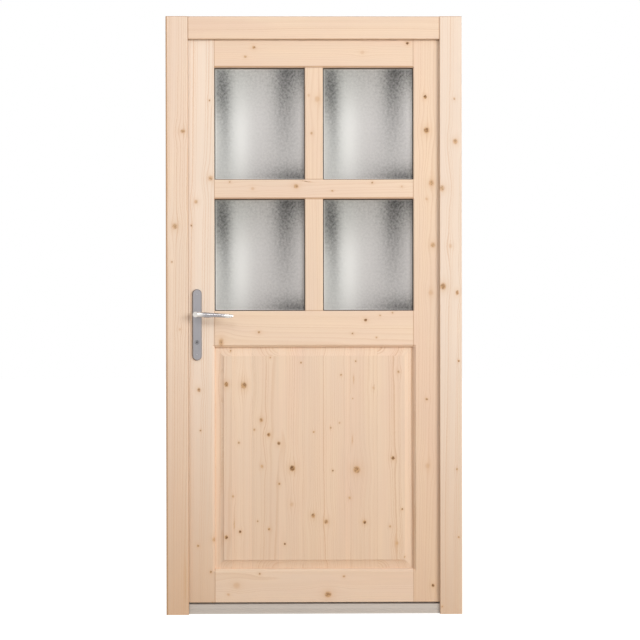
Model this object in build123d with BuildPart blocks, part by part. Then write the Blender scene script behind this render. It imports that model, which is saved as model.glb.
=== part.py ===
"""Part-glazed softwood side door in its frame, opening inwards.

Seen from outside, X runs to the right, Y inwards and Z up. The origin is the middle of the frame's foot.
"""

import os
from math import cos, radians, sin

from build123d import *

os.makedirs("parts", exist_ok=True)

# Frame: two jambs with the head between them, and cover boards planted on their outer faces. The
# covers lap over the edge of the leaf
frame_width = 980
frame_height = 1980
frame_depth = 58
jamb_face = 74
head_face = 75
cover_thickness = 8
cover_lap = 17
arris_radius = 3

# Threshold: a ribbed aluminium angle over its plastic core
sill_height = 32
sill_setback = 10
sill_wall = 6
sill_tread = 8
sill_rib_depth = 1.6
sill_rib_height = 2.2
sill_rib_levels = (9, 16)
sill_lip_height = 4

# Seals in the backs of the covers and in the threshold
seal_width = 4
seal_depth = 5
seal_proud = 1
seal_inset = 5

# Leaf: gaps to the covers, to the frame round its edge, and to the threshold
face_gap = 6
edge_gap = 7
sill_gap = 6

# Leaf members
stile_width = 95
bottom_rail_height = 109
panel_opening_height = 739
lock_rail_height = 120
crossrail_height = 64
glazing_bar_width = 60
top_rail_height = 101

# Joinery: square tenons in mortices, and the eased edge that leaves a fine V at each butt joint
tenon_thickness = 14
tenon_length = 30
bar_tenon_length = 12
tenon_shoulder = 14
joint_ease = 0.8

# Raised panel, coved on both faces, with a tongue in the grooves round it
tongue_reach = 12
tongue_thickness = 12
tongue_play = 2
panel_thickness = 31
cove_width = 30
cove_shoulder = 2
panel_bevel = 7

# Glazing: sheets in rebates cut from the inside, held by beads
glass_rebate = 12
glass_play = 2
glass_setback = 16
glass_thickness = 16
bead_recess = 3
bead_bevel = 5
pane_bevel = 2.5

# Drilled-in hinges: a lower knuckle with the pin on the frame, an upper knuckle on the leaf
low_hinge_height = 203
top_hinge_drop = 215
hinge_pin_radius = 4
hinge_running_clearance = 0.05
knuckle_radius = 7.5
knuckle_height = 42
knuckle_float = 0.5
knuckle_standoff = 0.5
knuckle_bevel = 1.2
hinge_axis_inset = 2.5
hinge_pin_reach = 34
dowel_radius = 3
dowel_length = 45
dowel_steps = (11, 31)
leaf_dowel_angle = 40
frame_dowel_angle = 45

# Mortice lock in the lock stile, with its bolts drawn back flush
backset = 38
lever_level = 994
lock_centres = 92
forend_width = 16
forend_height = 236
forend_thickness = 3
forend_level = 948
case_width = 50
case_height = 196
case_thickness = 13
bolt_width = 10
latch_height = 30
latch_level = 1022
dead_bolt_height = 38
dead_bolt_level = 935
bolt_length = 22
follower_radius = 6
strike_pocket_depth = 18
strike_margin = 2
strike_width = 18

# Furniture: long plates, levers on one square spindle, and a profile key cylinder
plate_width = 31
plate_height = 236
plate_thickness = 8
plate_bevel = 2.5
plate_level = 960
spindle_size = 8
spindle_seat = 22
spindle_bore_radius = 10
lever_neck_radius = 8
lever_hub_radius = 9.3
lever_hub_bevel = 2.6
lever_hub_overrun = 9
lever_root_radius = 8.8
lever_root_length = 16
lever_running_clearance = 0.05
lever_float = 0.3
lever_standoff = 42
cylinder_radius = 8.5
cylinder_web = 10
cylinder_drop = 24.5
cylinder_proud = 2
cylinder_clearance = 1

# Grip of the lever past its root: distance from the axis, rise, half height and half thickness
grip_sections = (
    (38, -2.2, 8.4, 6.8),
    (61, -2.2, 6.9, 5.6),
    (85, -3.6, 6.3, 5),
    (106, -5.3, 6.7, 4.7),
    (119, -5.4, 5.2, 3.8),
    (123, -5.2, 3, 2.2),
)

# Frame edges: the covers outside and the frame behind them
outer_face = -frame_depth / 2
inner_face = frame_depth / 2
cover_back = outer_face + cover_thickness
wall_left = -frame_width / 2
wall_right = frame_width / 2
cover_left_edge = wall_left + jamb_face
cover_right_edge = wall_right - jamb_face
jamb_left_edge = cover_left_edge - cover_lap
jamb_right_edge = cover_right_edge + cover_lap
cover_underside = frame_height - head_face
head_underside = cover_underside + cover_lap

# Leaf edges
leaf_face = cover_back + face_gap
leaf_middle = (leaf_face + inner_face) / 2
leaf_left = jamb_left_edge + edge_gap
leaf_right = jamb_right_edge - edge_gap
leaf_bottom = sill_height + sill_gap
leaf_top = head_underside - edge_gap

# Openings of the leaf, as (low, high) pairs
stile_inner_left = leaf_left + stile_width
stile_inner_right = leaf_right - stile_width
rail_x = (stile_inner_left, stile_inner_right)
panel_low = leaf_bottom + bottom_rail_height
panel_high = panel_low + panel_opening_height
glazing_low = panel_high + lock_rail_height
glazing_high = leaf_top - top_rail_height
pane_width = (stile_inner_right - stile_inner_left - glazing_bar_width) / 2
pane_height = (glazing_high - glazing_low - crossrail_height) / 2
bar_x = (stile_inner_left + pane_width, stile_inner_right - pane_width)
crossrail_z = (glazing_low + pane_height, glazing_high - pane_height)
upper_z = (crossrail_z[1], glazing_high)
lower_z = (glazing_low, crossrail_z[0])
panes = {
    "upper_left": ((stile_inner_left, bar_x[0]), upper_z),
    "upper_right": ((bar_x[1], stile_inner_right), upper_z),
    "lower_left": ((stile_inner_left, bar_x[0]), lower_z),
    "lower_right": ((bar_x[1], stile_inner_right), lower_z),
}
glass_face = leaf_face + glass_setback
glass_back = glass_face + glass_thickness

# Rails, as the z pair of each
rails = {
    "bottom_rail": (leaf_bottom, panel_low),
    "lock_rail": (panel_high, glazing_low),
    "crossrail": crossrail_z,
    "top_rail": (glazing_high, leaf_top),
}
tenon_y = (leaf_middle - tenon_thickness / 2, leaf_middle + tenon_thickness / 2)

# Hardware axes
hinge_low = leaf_bottom + low_hinge_height
hinge_top = leaf_top - top_hinge_drop
hinge_levels = {"low": hinge_low, "mid": (hinge_low + hinge_top) / 2, "top": hinge_top}
hinge_axis = (leaf_right + hinge_axis_inset, inner_face + knuckle_standoff + knuckle_radius)
lever_axis = leaf_left + backset
cylinder_level = lever_level - lock_centres
plate_face = leaf_face - plate_thickness
grip_plane = plate_face - lever_standoff
spindle_reach = leaf_middle - plate_face + spindle_seat
bolts = {"latch_bolt": (latch_level, latch_height), "dead_bolt": (dead_bolt_level, dead_bolt_height)}


def middle(span):
    """The middle of a (low, high) pair."""
    return (span[0] + span[1]) / 2


def length(span):
    """The distance from the low to the high end of a pair."""
    return span[1] - span[0]


def wider(span, extra):
    """The pair with its ends moved outwards."""
    return (span[0] - extra, span[1] + extra)


def about(centre, size):
    """The pair of this size round a centre."""
    return (centre - size / 2, centre + size / 2)


def block(x, y, z, mode=Mode.ADD):
    """A rectangular block between three (low, high) pairs."""
    with Locations((middle(x), middle(y), middle(z))):
        Box(length(x), length(y), length(z), mode=mode)


def towards_outside(x, y, z):
    """A plane that faces the viewer outside, with its own x to the right and its own y upwards."""
    return Plane((x, y, z), x_dir=(1, 0, 0), z_dir=(0, -1, 0))


def bevel_opening(x, z, reach, face, into):
    """Bevel the edges round an opening on the face at y = face, with mitred corners."""
    with BuildSketch(Plane((middle(x), face, middle(z)), x_dir=(1, 0, 0), z_dir=(0, into, 0))) as mouth:
        Rectangle(length(x) + 2 * reach, length(z) + 2 * reach)
    extrude(mouth.sketch, amount=reach, taper=45, mode=Mode.SUBTRACT)


def cut_panes():
    """Cut the glass rebates and ease the outer edges round the panes."""
    for x, z in panes.values():
        block(wider(x, glass_rebate), (glass_face, inner_face), wider(z, glass_rebate), Mode.SUBTRACT)
        bevel_opening(x, z, pane_bevel, leaf_face, 1)


def cut_panel_groove():
    """Cut the groove for the panel's tongue and bevel both faces round the panel."""
    z = (panel_low, panel_high)
    groove_y = about(leaf_middle, tongue_thickness)
    block(wider(rail_x, tongue_reach), groove_y, wider(z, tongue_reach), Mode.SUBTRACT)
    bevel_opening(rail_x, z, panel_bevel, leaf_face, 1)
    bevel_opening(rail_x, z, panel_bevel, inner_face, -1)


def rail_tenons(z, mode=Mode.ADD):
    """Tenons on both ends of a rail, or with Mode.SUBTRACT their mortices in the stiles."""
    tenon_z = wider(z, -tenon_shoulder)
    block((rail_x[0] - tenon_length, rail_x[0]), tenon_y, tenon_z, mode)
    block((rail_x[1], rail_x[1] + tenon_length), tenon_y, tenon_z, mode)


def bar_tenons(z, mode=Mode.ADD):
    """Stub tenons on both ends of a glazing bar, or with Mode.SUBTRACT their mortices in the rails."""
    tenon_x = wider(bar_x, -tenon_shoulder)
    block(tenon_x, tenon_y, (z[0] - bar_tenon_length, z[0]), mode)
    block(tenon_x, tenon_y, (z[1], z[1] + bar_tenon_length), mode)


def hinge_dowels(levels, angle, side, mode):
    """Dowels that slant from the hinge's knuckle into the wood, or the holes for them."""
    direction = Vector(side * cos(radians(angle)), -sin(radians(angle)), 0)
    wall_middle = (knuckle_radius + hinge_pin_radius) / 2
    start = Vector(*hinge_axis) + direction * wall_middle
    for level in levels:
        with BuildSketch(Plane((start.X, start.Y, level), z_dir=direction)) as dowel:
            Circle(dowel_radius)
        extrude(dowel.sketch, amount=dowel_length - wall_middle, mode=mode)


def leaf_dowels(level, mode):
    """The two dowels of the upper knuckle of the hinge at this level."""
    heights = [level + knuckle_float + step for step in dowel_steps]
    hinge_dowels(heights, leaf_dowel_angle, -1, mode)


def frame_dowels(level, mode):
    """The two dowels of the lower knuckle of the hinge at this level."""
    heights = [level - step for step in dowel_steps]
    hinge_dowels(heights, frame_dowel_angle, 1, mode)


def cylinder_profile(clearance):
    """Round barrel over a narrow web with a round foot, on the current plane at the key cylinder."""
    Circle(cylinder_radius + clearance)
    with Locations((0, -cylinder_drop / 2)):
        Rectangle(cylinder_web + 2 * clearance, cylinder_drop)
    with Locations((0, -cylinder_drop)):
        Circle(cylinder_web / 2 + clearance)


def bore_furniture(y, spindle_radius, clearance):
    """Bore for the spindle and the key cylinder through the depth y."""
    with BuildSketch(towards_outside(lever_axis, y[1], lever_level)) as spindle_hole:
        Circle(spindle_radius)
    extrude(spindle_hole.sketch, amount=length(y), mode=Mode.SUBTRACT)
    with BuildSketch(towards_outside(lever_axis, y[1], cylinder_level)) as cylinder_hole:
        cylinder_profile(clearance)
    extrude(cylinder_hole.sketch, amount=length(y), mode=Mode.SUBTRACT)


def save(name, part):
    """Label a finished piece and write it."""
    part.label = name
    export_step(part, f"parts/{name}.step")


# Frame members


strike_x = (jamb_left_edge - forend_thickness, jamb_left_edge)
strike_y = about(leaf_middle, strike_width)
strike_z = about(forend_level, forend_height)
pocket_y = about(leaf_middle, bolt_width + 2 * strike_margin)


def cut_bolt_pockets(x):
    """Cut the pockets that the latch and the dead bolt shoot into."""
    for level, height in bolts.values():
        block(x, pocket_y, about(level, height + 2 * strike_margin), Mode.SUBTRACT)


frame_y = (cover_back, inner_face)
frame_z = (0, frame_height)

with BuildPart() as jamb_left:
    block((wall_left, jamb_left_edge), frame_y, frame_z)
    block(strike_x, strike_y, strike_z, Mode.SUBTRACT)
    cut_bolt_pockets((strike_x[0] - strike_pocket_depth, jamb_left_edge))
save("jamb_left", jamb_left.part)

with BuildPart() as jamb_right:
    block((jamb_right_edge, wall_right), frame_y, frame_z)
    for hinge_level in hinge_levels.values():
        frame_dowels(hinge_level, Mode.SUBTRACT)
save("jamb_right", jamb_right.part)

with BuildPart() as head:
    block((jamb_left_edge, jamb_right_edge), frame_y, (head_underside, frame_height))
save("head", head.part)


def cover_section(span, seal_at):
    """Section of a cover board across its span, rounded outside, with a groove for the seal."""
    with Locations((middle(span), middle((outer_face, cover_back)))):
        Rectangle(length(span), cover_thickness)
    fillet(vertices().group_by(Axis.Y)[0], arris_radius)
    with Locations((seal_at, cover_back - seal_depth / 2)):
        Rectangle(seal_width, seal_depth, mode=Mode.SUBTRACT)


cover_spans = {
    "left": ((wall_left, cover_left_edge), cover_left_edge - seal_inset),
    "right": ((cover_right_edge, wall_right), cover_right_edge + seal_inset),
}

for place, (cover_x, seal_x) in cover_spans.items():
    with BuildPart() as jamb_cover:
        with BuildSketch():
            cover_section(cover_x, seal_x)
        extrude(amount=frame_height)
    save(f"cover_{place}", jamb_cover.part)

with BuildPart() as cover_head:
    with BuildSketch(Plane((cover_right_edge, 0, 0), x_dir=(0, 0, 1), z_dir=(-1, 0, 0))):
        cover_section((cover_underside, frame_height), cover_underside + seal_inset)
    extrude(amount=cover_right_edge - cover_left_edge)
save("cover_head", cover_head.part)

sill_x = (jamb_left_edge, jamb_right_edge)
sill_face = outer_face + sill_setback
sill_back = sill_face + sill_wall
core_height = sill_height - sill_tread

with BuildPart() as threshold_rail:
    rib_foot = sill_face + sill_rib_depth
    with BuildSketch(Plane.YZ.offset(jamb_left_edge)):
        with BuildLine():
            Polyline(
                (rib_foot, 0),
                (sill_back, 0),
                (sill_back, core_height),
                (inner_face, core_height),
                (inner_face, sill_height),
                (sill_face, sill_height),
                (sill_face, sill_height - sill_lip_height),
                (rib_foot, sill_height - sill_lip_height),
                close=True,
            )
        make_face()
        for rib_level in sill_rib_levels:
            with Locations((sill_face + sill_rib_depth / 2, rib_level)):
                Rectangle(sill_rib_depth, sill_rib_height)
        with Locations((leaf_middle, sill_height - seal_depth / 2)):
            Rectangle(seal_width, seal_depth, mode=Mode.SUBTRACT)
    extrude(amount=length(sill_x))
save("threshold_rail", threshold_rail.part)

with BuildPart() as threshold_core:
    block(sill_x, (sill_back, inner_face), (0, core_height))
save("threshold_core", threshold_core.part)


def seal_section(turn):
    """Soft strip with its stem in the groove and its rounded bead proud of it."""
    bead_middle = seal_proud - seal_width / 2
    with Locations(Rotation(0, 0, turn)):
        with Locations((0, (bead_middle - seal_depth) / 2)):
            Rectangle(seal_width, seal_depth + bead_middle)
        with Locations((0, bead_middle)):
            Circle(seal_width / 2)


for place, (cover_x, seal_x) in cover_spans.items():
    with BuildPart() as jamb_seal:
        with BuildSketch(Plane((seal_x, cover_back, sill_height))):
            seal_section(0)
        extrude(amount=cover_underside - sill_height)
    save(f"seal_{place}", jamb_seal.part)

with BuildPart() as seal_head:
    seal_corner = (cover_left_edge, cover_back, cover_underside + seal_inset)
    with BuildSketch(Plane(seal_corner, x_dir=(0, 1, 0), z_dir=(1, 0, 0))):
        seal_section(-90)
    extrude(amount=cover_right_edge - cover_left_edge)
save("seal_head", seal_head.part)

with BuildPart() as seal_threshold:
    seal_corner = (jamb_left_edge, leaf_middle, sill_height)
    with BuildSketch(Plane(seal_corner, x_dir=(0, 1, 0), z_dir=(1, 0, 0))):
        seal_section(0)
    extrude(amount=length(sill_x))
save("seal_threshold", seal_threshold.part)

# Leaf members


def stile_body(edge, inner_edge):
    """A stile with its outer edge rounded and its inner edge eased."""
    with BuildSketch(Plane.XY.offset(leaf_bottom)) as plan:
        with Locations(((edge + inner_edge) / 2, leaf_middle)):
            Rectangle(stile_width, inner_face - leaf_face)
        rounded = [v for v in vertices() if v.X == edge]
        eased = [v for v in vertices() if v.X == inner_edge]
        fillet(rounded, arris_radius)
        chamfer(eased, joint_ease)
    extrude(plan.sketch, amount=leaf_top - leaf_bottom)
    cut_panes()
    cut_panel_groove()
    for rail_z in rails.values():
        rail_tenons(rail_z, Mode.SUBTRACT)


forend_x = (leaf_left, leaf_left + forend_thickness)
forend_y = about(leaf_middle, forend_width)
case_x = (forend_x[1], forend_x[1] + case_width)
case_y = about(leaf_middle, case_thickness)
case_z = about(forend_level, case_height)

with BuildPart() as lock_stile:
    stile_body(leaf_left, stile_inner_left)
    block(forend_x, forend_y, strike_z, Mode.SUBTRACT)
    block(case_x, case_y, case_z, Mode.SUBTRACT)
    bore_furniture((leaf_face, inner_face), spindle_bore_radius, cylinder_clearance)
save("lock_stile", lock_stile.part)

with BuildPart() as hinge_stile:
    stile_body(leaf_right, stile_inner_right)
    for hinge_level in hinge_levels.values():
        leaf_dowels(hinge_level, Mode.SUBTRACT)
save("hinge_stile", hinge_stile.part)


def rail_body(z):
    """A rail between the stiles, with eased ends and its tenons."""
    with BuildSketch(Plane.XY.offset(z[0])) as plan:
        with Locations((middle(rail_x), leaf_middle)):
            Rectangle(length(rail_x), inner_face - leaf_face)
        chamfer(vertices(), joint_ease)
    extrude(plan.sketch, amount=length(z))
    rail_tenons(z)


with BuildPart() as top_rail:
    rail_body(rails["top_rail"])
    cut_panes()
    bar_tenons(upper_z, Mode.SUBTRACT)
save("top_rail", top_rail.part)

with BuildPart() as crossrail:
    rail_body(rails["crossrail"])
    cut_panes()
    bar_tenons(upper_z, Mode.SUBTRACT)
    bar_tenons(lower_z, Mode.SUBTRACT)
save("crossrail", crossrail.part)

with BuildPart() as lock_rail:
    rail_body(rails["lock_rail"])
    cut_panes()
    cut_panel_groove()
    bar_tenons(lower_z, Mode.SUBTRACT)
save("lock_rail", lock_rail.part)

with BuildPart() as bottom_rail:
    rail_body(rails["bottom_rail"])
    cut_panel_groove()
save("bottom_rail", bottom_rail.part)

for place, bar_z in (("upper", upper_z), ("lower", lower_z)):
    with BuildPart() as glazing_bar:
        with BuildSketch(Plane.YZ.offset(bar_x[0])) as side_view:
            with Locations((leaf_middle, middle(bar_z))):
                Rectangle(inner_face - leaf_face, length(bar_z))
            chamfer(vertices(), joint_ease)
        extrude(amount=glazing_bar_width)
        bar_tenons(bar_z)
        cut_panes()
    save(f"glazing_bar_{place}", glazing_bar.part)


def cut_cove(edge, inward, outward, run):
    """Cut one side's cove: flat on the tongue at the opening's edge, steep at the raised field."""
    plane = Plane(edge, x_dir=inward, z_dir=Vector(*inward).cross(Vector(*outward)))
    field = panel_thickness / 2
    tongue = tongue_thickness / 2
    with BuildSketch(plane) as cove:
        with BuildLine() as outline:
            sweep_up = TangentArc((0, tongue), (cove_width, field - cove_shoulder), tangent=(1, 0))
            Polyline(
                sweep_up @ 1,
                (cove_width, field),
                (-tongue_reach, field),
                (-tongue_reach, tongue),
                sweep_up @ 0,
            )
        make_face(outline.edges())
    extrude(cove.sketch, amount=run / 2, both=True, mode=Mode.SUBTRACT)


with BuildPart() as raised_panel:
    panel_reach = tongue_reach - tongue_play
    panel_x = wider(rail_x, panel_reach)
    panel_z = wider((panel_low, panel_high), panel_reach)
    panel_middle = (middle(rail_x), leaf_middle, middle((panel_low, panel_high)))
    block(panel_x, about(leaf_middle, panel_thickness), panel_z)
    for outward in ((0, -1, 0), (0, 1, 0)):
        cut_cove((rail_x[0], leaf_middle, panel_middle[2]), (1, 0, 0), outward, length(panel_z))
        cut_cove((rail_x[1], leaf_middle, panel_middle[2]), (-1, 0, 0), outward, length(panel_z))
        cut_cove((panel_middle[0], leaf_middle, panel_low), (0, 0, 1), outward, length(panel_x))
        cut_cove((panel_middle[0], leaf_middle, panel_high), (0, 0, -1), outward, length(panel_x))
save("raised_panel", raised_panel.part)

# Glass and beads

for place, (pane_x, pane_z) in panes.items():
    with BuildPart() as glass:
        sheet_reach = glass_rebate - glass_play
        block(wider(pane_x, sheet_reach), (glass_face, glass_back), wider(pane_z, sheet_reach))
    save(f"glass_{place}", glass.part)

    with BuildPart() as bead:
        bead_y = (glass_back, inner_face - bead_recess)
        block(wider(pane_x, glass_rebate), bead_y, wider(pane_z, glass_rebate))
        block(pane_x, bead_y, pane_z, Mode.SUBTRACT)
        bevel_opening(pane_x, pane_z, bead_bevel, bead_y[1], -1)
    save(f"bead_{place}", bead.part)

# Hinges

for place, hinge_level in hinge_levels.items():
    with BuildPart() as hinge_frame:
        with BuildSketch(Plane((*hinge_axis, hinge_level - knuckle_height))):
            Circle(knuckle_radius)
        extrude(amount=knuckle_height)
        chamfer(hinge_frame.edges().sort_by(Axis.Z)[0], knuckle_bevel)
        frame_dowels(hinge_level, Mode.ADD)
        with BuildSketch(Plane((*hinge_axis, hinge_level))):
            Circle(hinge_pin_radius)
        extrude(amount=hinge_pin_reach)
    save(f"hinge_{place}_frame", hinge_frame.part)

    with BuildPart() as hinge_leaf:
        knuckle_foot = hinge_level + knuckle_float
        with BuildSketch(Plane((*hinge_axis, knuckle_foot))):
            Circle(knuckle_radius)
        extrude(amount=knuckle_height)
        chamfer(hinge_leaf.edges().sort_by(Axis.Z)[-1], knuckle_bevel)
        leaf_dowels(hinge_level, Mode.ADD)
        with BuildSketch(Plane((*hinge_axis, knuckle_foot))):
            Circle(hinge_pin_radius + hinge_running_clearance)
        extrude(amount=hinge_pin_reach, mode=Mode.SUBTRACT)
    save(f"hinge_{place}_leaf", hinge_leaf.part)

# Lock

bolt_x = (leaf_left, leaf_left + bolt_length)
bolt_y = about(leaf_middle, bolt_width)

with BuildPart() as mortice_lock:
    block(forend_x, forend_y, strike_z)
    block(case_x, case_y, case_z)
    bore_furniture(case_y, follower_radius, 0)
    for level, height in bolts.values():
        block(bolt_x, bolt_y, about(level, height), Mode.SUBTRACT)
save("mortice_lock", mortice_lock.part)

for name, (level, height) in bolts.items():
    with BuildPart() as bolt:
        block(bolt_x, bolt_y, about(level, height))
    save(name, bolt.part)

with BuildPart() as strike_plate:
    block(strike_x, strike_y, strike_z)
    cut_bolt_pockets(strike_x)
save("strike_plate", strike_plate.part)

# Furniture

with BuildPart() as plate_outer:
    with BuildSketch(towards_outside(lever_axis, leaf_face, plate_level)):
        SlotOverall(plate_height, plate_width, rotation=90)
    extrude(amount=plate_thickness)
    chamfer(plate_outer.faces().sort_by(Axis.Y)[0].edges(), plate_bevel)
    bore_furniture((plate_face, leaf_face), lever_neck_radius + lever_running_clearance, 0)
save("plate_outer", plate_outer.part)

with BuildPart() as plate_inner:
    mirror(plate_outer.part, about=Plane.XZ.offset(-leaf_middle))
save("plate_inner", plate_inner.part)

with BuildPart() as key_cylinder:
    with BuildSketch(towards_outside(lever_axis, leaf_middle, cylinder_level)):
        cylinder_profile(0)
    extrude(amount=leaf_middle - plate_face + cylinder_proud, both=True)
save("key_cylinder", key_cylinder.part)

spindle_x = about(lever_axis, spindle_size)
spindle_z = about(lever_level, spindle_size)

with BuildPart() as spindle:
    block(spindle_x, about(leaf_middle, 2 * spindle_reach), spindle_z)
save("spindle", spindle.part)


def across_lever(distance, rise):
    """The plane across the lever's grip at this distance from its axis."""
    centre = (lever_axis + distance, grip_plane, lever_level + rise)
    return Plane(centre, x_dir=(0, 0, 1), z_dir=(1, 0, 0))


with BuildPart() as lever_outer:
    with BuildSketch(towards_outside(lever_axis, leaf_face, lever_level)):
        Circle(lever_neck_radius)
    extrude(amount=plate_thickness + lever_float)
    with BuildSketch(towards_outside(lever_axis, plate_face - lever_float, lever_level)):
        Circle(lever_hub_radius)
    extrude(amount=lever_standoff + lever_hub_overrun - lever_float)
    chamfer(lever_outer.faces().sort_by(Axis.Y)[0].edges(), lever_hub_bevel)
    with BuildSketch(across_lever(0, 0)):
        Circle(lever_root_radius)
    extrude(amount=lever_root_length)
    with BuildSketch(across_lever(lever_root_length, 0)):
        Circle(lever_root_radius)
    for distance, rise, half_height, half_thickness in grip_sections:
        with BuildSketch(across_lever(distance, rise)):
            Ellipse(half_height, half_thickness)
    loft(ruled=True)
    block(spindle_x, (leaf_middle - spindle_reach, leaf_face), spindle_z, Mode.SUBTRACT)
save("lever_outer", lever_outer.part)

with BuildPart() as lever_inner:
    mirror(lever_outer.part, about=Plane.XZ.offset(-leaf_middle))
save("lever_inner", lever_inner.part)
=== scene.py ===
"""Looks of the part-glazed softwood side door: its spruce, obscured panes, sill and furniture."""

import math

import bpy
from mathutils import Matrix, Vector


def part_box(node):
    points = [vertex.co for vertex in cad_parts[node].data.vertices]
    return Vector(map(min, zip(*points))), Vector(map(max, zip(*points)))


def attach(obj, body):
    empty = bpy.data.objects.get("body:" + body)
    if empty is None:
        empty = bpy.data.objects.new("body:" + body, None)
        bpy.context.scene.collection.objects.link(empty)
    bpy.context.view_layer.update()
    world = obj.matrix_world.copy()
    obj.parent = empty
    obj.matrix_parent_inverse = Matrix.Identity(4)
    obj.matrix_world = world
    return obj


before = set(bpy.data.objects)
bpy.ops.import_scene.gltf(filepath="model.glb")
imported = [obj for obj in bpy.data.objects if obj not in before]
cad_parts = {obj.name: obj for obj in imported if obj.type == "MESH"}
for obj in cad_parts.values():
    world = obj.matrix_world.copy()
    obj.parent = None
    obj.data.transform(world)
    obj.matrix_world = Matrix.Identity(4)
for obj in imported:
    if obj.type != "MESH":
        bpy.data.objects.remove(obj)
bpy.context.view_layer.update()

# Camera
# A studio view from four metres off, at about chest height, with a long lens. It is square to the
# door but for the small turns that the photo has.
camera_place = Vector((-0.014, -4.0, 0.9857))
camera_yaw = math.radians(0.482)
camera_pitch = math.radians(0.150)
camera_roll = math.radians(-0.090)
camera_lens = 67.50
film_width = 36

camera_data = bpy.data.cameras.new("camera")
camera_data.lens = camera_lens
camera_data.sensor_width = film_width
camera = bpy.data.objects.new("camera", camera_data)
bpy.context.scene.collection.objects.link(camera)
bpy.context.scene.camera = camera
turn = Matrix.Rotation(-camera_yaw, 4, "Z") @ Matrix.Rotation(math.pi / 2 - camera_pitch, 4, "X")
camera.matrix_world = Matrix.Translation(camera_place) @ turn @ Matrix.Rotation(camera_roll, 4, "Z")
bpy.context.scene.view_settings.view_transform = "Standard"

# Studio
# White cyclorama: rays from the camera, through glass or off polish see white. The door itself is
# lit softly, more from the upper right than from the left. The floor keeps the door's shadow.
ambient_level = 0.42
ambient_lean = 0.35
brighter_side = Vector((0.62, -0.55, 0.56))
paper_level = 1.3
paper_share = 0.8
floor_buff = (0.64, 0.54, 0.44, 1)
floor_size = 30
white_light = (1, 1, 1, 1)


def node(tree, kind, inputs=None, **settings):
    """Add a node, set its settings, and fill or link its inputs by name or number."""
    made = tree.nodes.new(kind)
    for name, value in settings.items():
        setattr(made, name, value)
    for key, value in (inputs or {}).items():
        if isinstance(value, bpy.types.NodeSocket):
            tree.links.new(value, made.inputs[key])
        else:
            made.inputs[key].default_value = value
    return made


def maths(tree, operation, *values, clamp=False):
    """The result of one sum on numbers or sockets."""
    made = node(tree, "ShaderNodeMath", dict(enumerate(values)), operation=operation, use_clamp=clamp)
    return made.outputs[0]


def seen_as_paper(tree):
    """One for rays from the camera, off polish or through glass."""
    rays = node(tree, "ShaderNodeLightPath").outputs
    seen = maths(tree, "MAXIMUM", rays["Is Camera Ray"], rays["Is Glossy Ray"])
    return maths(tree, "MAXIMUM", seen, rays["Is Transmission Ray"])


def new_material(name):
    """An empty node material and its tree."""
    material = bpy.data.materials.new(name)
    material.use_nodes = True
    material.node_tree.nodes.clear()
    return material, material.node_tree


world = bpy.data.worlds.new("studio")
bpy.context.scene.world = world
world.use_nodes = True
sky = world.node_tree
sky.nodes.clear()
towards = node(sky, "ShaderNodeTexCoord").outputs["Generated"]
lean = node(sky, "ShaderNodeVectorMath", {0: towards, 1: brighter_side}, operation="DOT_PRODUCT")
ambient = maths(sky, "MULTIPLY_ADD", lean.outputs["Value"], ambient_level * ambient_lean, ambient_level)
strength = node(sky, "ShaderNodeMix", {0: seen_as_paper(sky), 2: ambient, 3: 1.0})
backdrop = node(sky, "ShaderNodeBackground", {"Color": white_light, "Strength": strength.outputs[0]})
node(sky, "ShaderNodeOutputWorld", {"Surface": backdrop.outputs[0]})

floor_look, tree = new_material("studio_floor")
paper = node(tree, "ShaderNodeEmission", {"Color": white_light, "Strength": paper_level})
matt = node(tree, "ShaderNodeBsdfDiffuse", {"Color": floor_buff})
white = node(tree, "ShaderNodeMixShader", {0: paper_share, 1: matt.outputs[0], 2: paper.outputs[0]})
seen = seen_as_paper(tree)
floor_mix = node(tree, "ShaderNodeMixShader", {0: seen, 1: matt.outputs[0], 2: white.outputs[0]})
node(tree, "ShaderNodeOutputMaterial", {"Surface": floor_mix.outputs[0]})

reach = floor_size / 2
floor_corners = [(-reach, -reach, 0), (reach, -reach, 0), (reach, reach, 0), (-reach, reach, 0)]
floor_mesh = bpy.data.meshes.new("studio_floor")
floor_mesh.from_pydata(floor_corners, [], [(0, 1, 2, 3)])
floor_mesh.materials.append(floor_look)
floor = bpy.data.objects.new("studio_floor", floor_mesh)
bpy.context.scene.collection.objects.link(floor)


def area_lamp(name, place, target, size, watts):
    """A square soft box that looks at the target."""
    data = bpy.data.lights.new(name, "AREA")
    data.size = size
    data.energy = watts
    lamp = bpy.data.objects.new(name, data)
    lamp.location = place
    lamp.rotation_euler = (Vector(target) - Vector(place)).to_track_quat("-Z", "Y").to_euler()
    bpy.context.scene.collection.objects.link(lamp)


area_lamp("key_lamp", place=(4.2, -5.0, 2.5), target=(0, 0, 1.2), size=2.6, watts=194)
area_lamp("top_lamp", place=(-0.6, -3.2, 2.9), target=(0, 0, 1.6), size=1.2, watts=26)
area_lamp("room_lamp", place=(1.5, 3.5, 3.0), target=(0, 0, 1.0), size=2.0, watts=45)

# Spruce members
# Planed and sanded spruce, left bare. Each member is sawn from its own log, so rings, tone and
# knots differ from one to the next, and the grain runs along the member.
pale_wood = (0.885, 0.688, 0.540, 1)
late_wood = (0.690, 0.450, 0.275, 1)
yellow_wood = (0.870, 0.665, 0.465, 1)
pink_wood = (0.850, 0.610, 0.470, 1)
white_wood = (0.870, 0.735, 0.620, 1)
# Painted shade towards the floor
floor_shade_brown = (0.600, 0.375, 0.205, 1)
# Dark joints, and painted shade in lines under rails, at the covers' inner edges and along the outer arris
joint_and_shade_brown = (0.500, 0.275, 0.130, 1)
knot_brown = (0.17, 0.085, 0.040, 1)
knot_amber = (0.64, 0.37, 0.17, 1)

# Lengths in metres
ring_spacing = 0.0040
ring_bend = 0.024
fuzz_across = 0.0035
fuzz_along = 0.0050
glue_line = 0.0007
# Reach and full-dark core of the lines of dark joints and painted shade
joint_and_shade_reach = 0.0030
joint_and_shade_core = 0.0006
# Height where the painted shade towards the floor begins
floor_shade_top = 0.9
grain_relief = 0.0004

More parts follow.
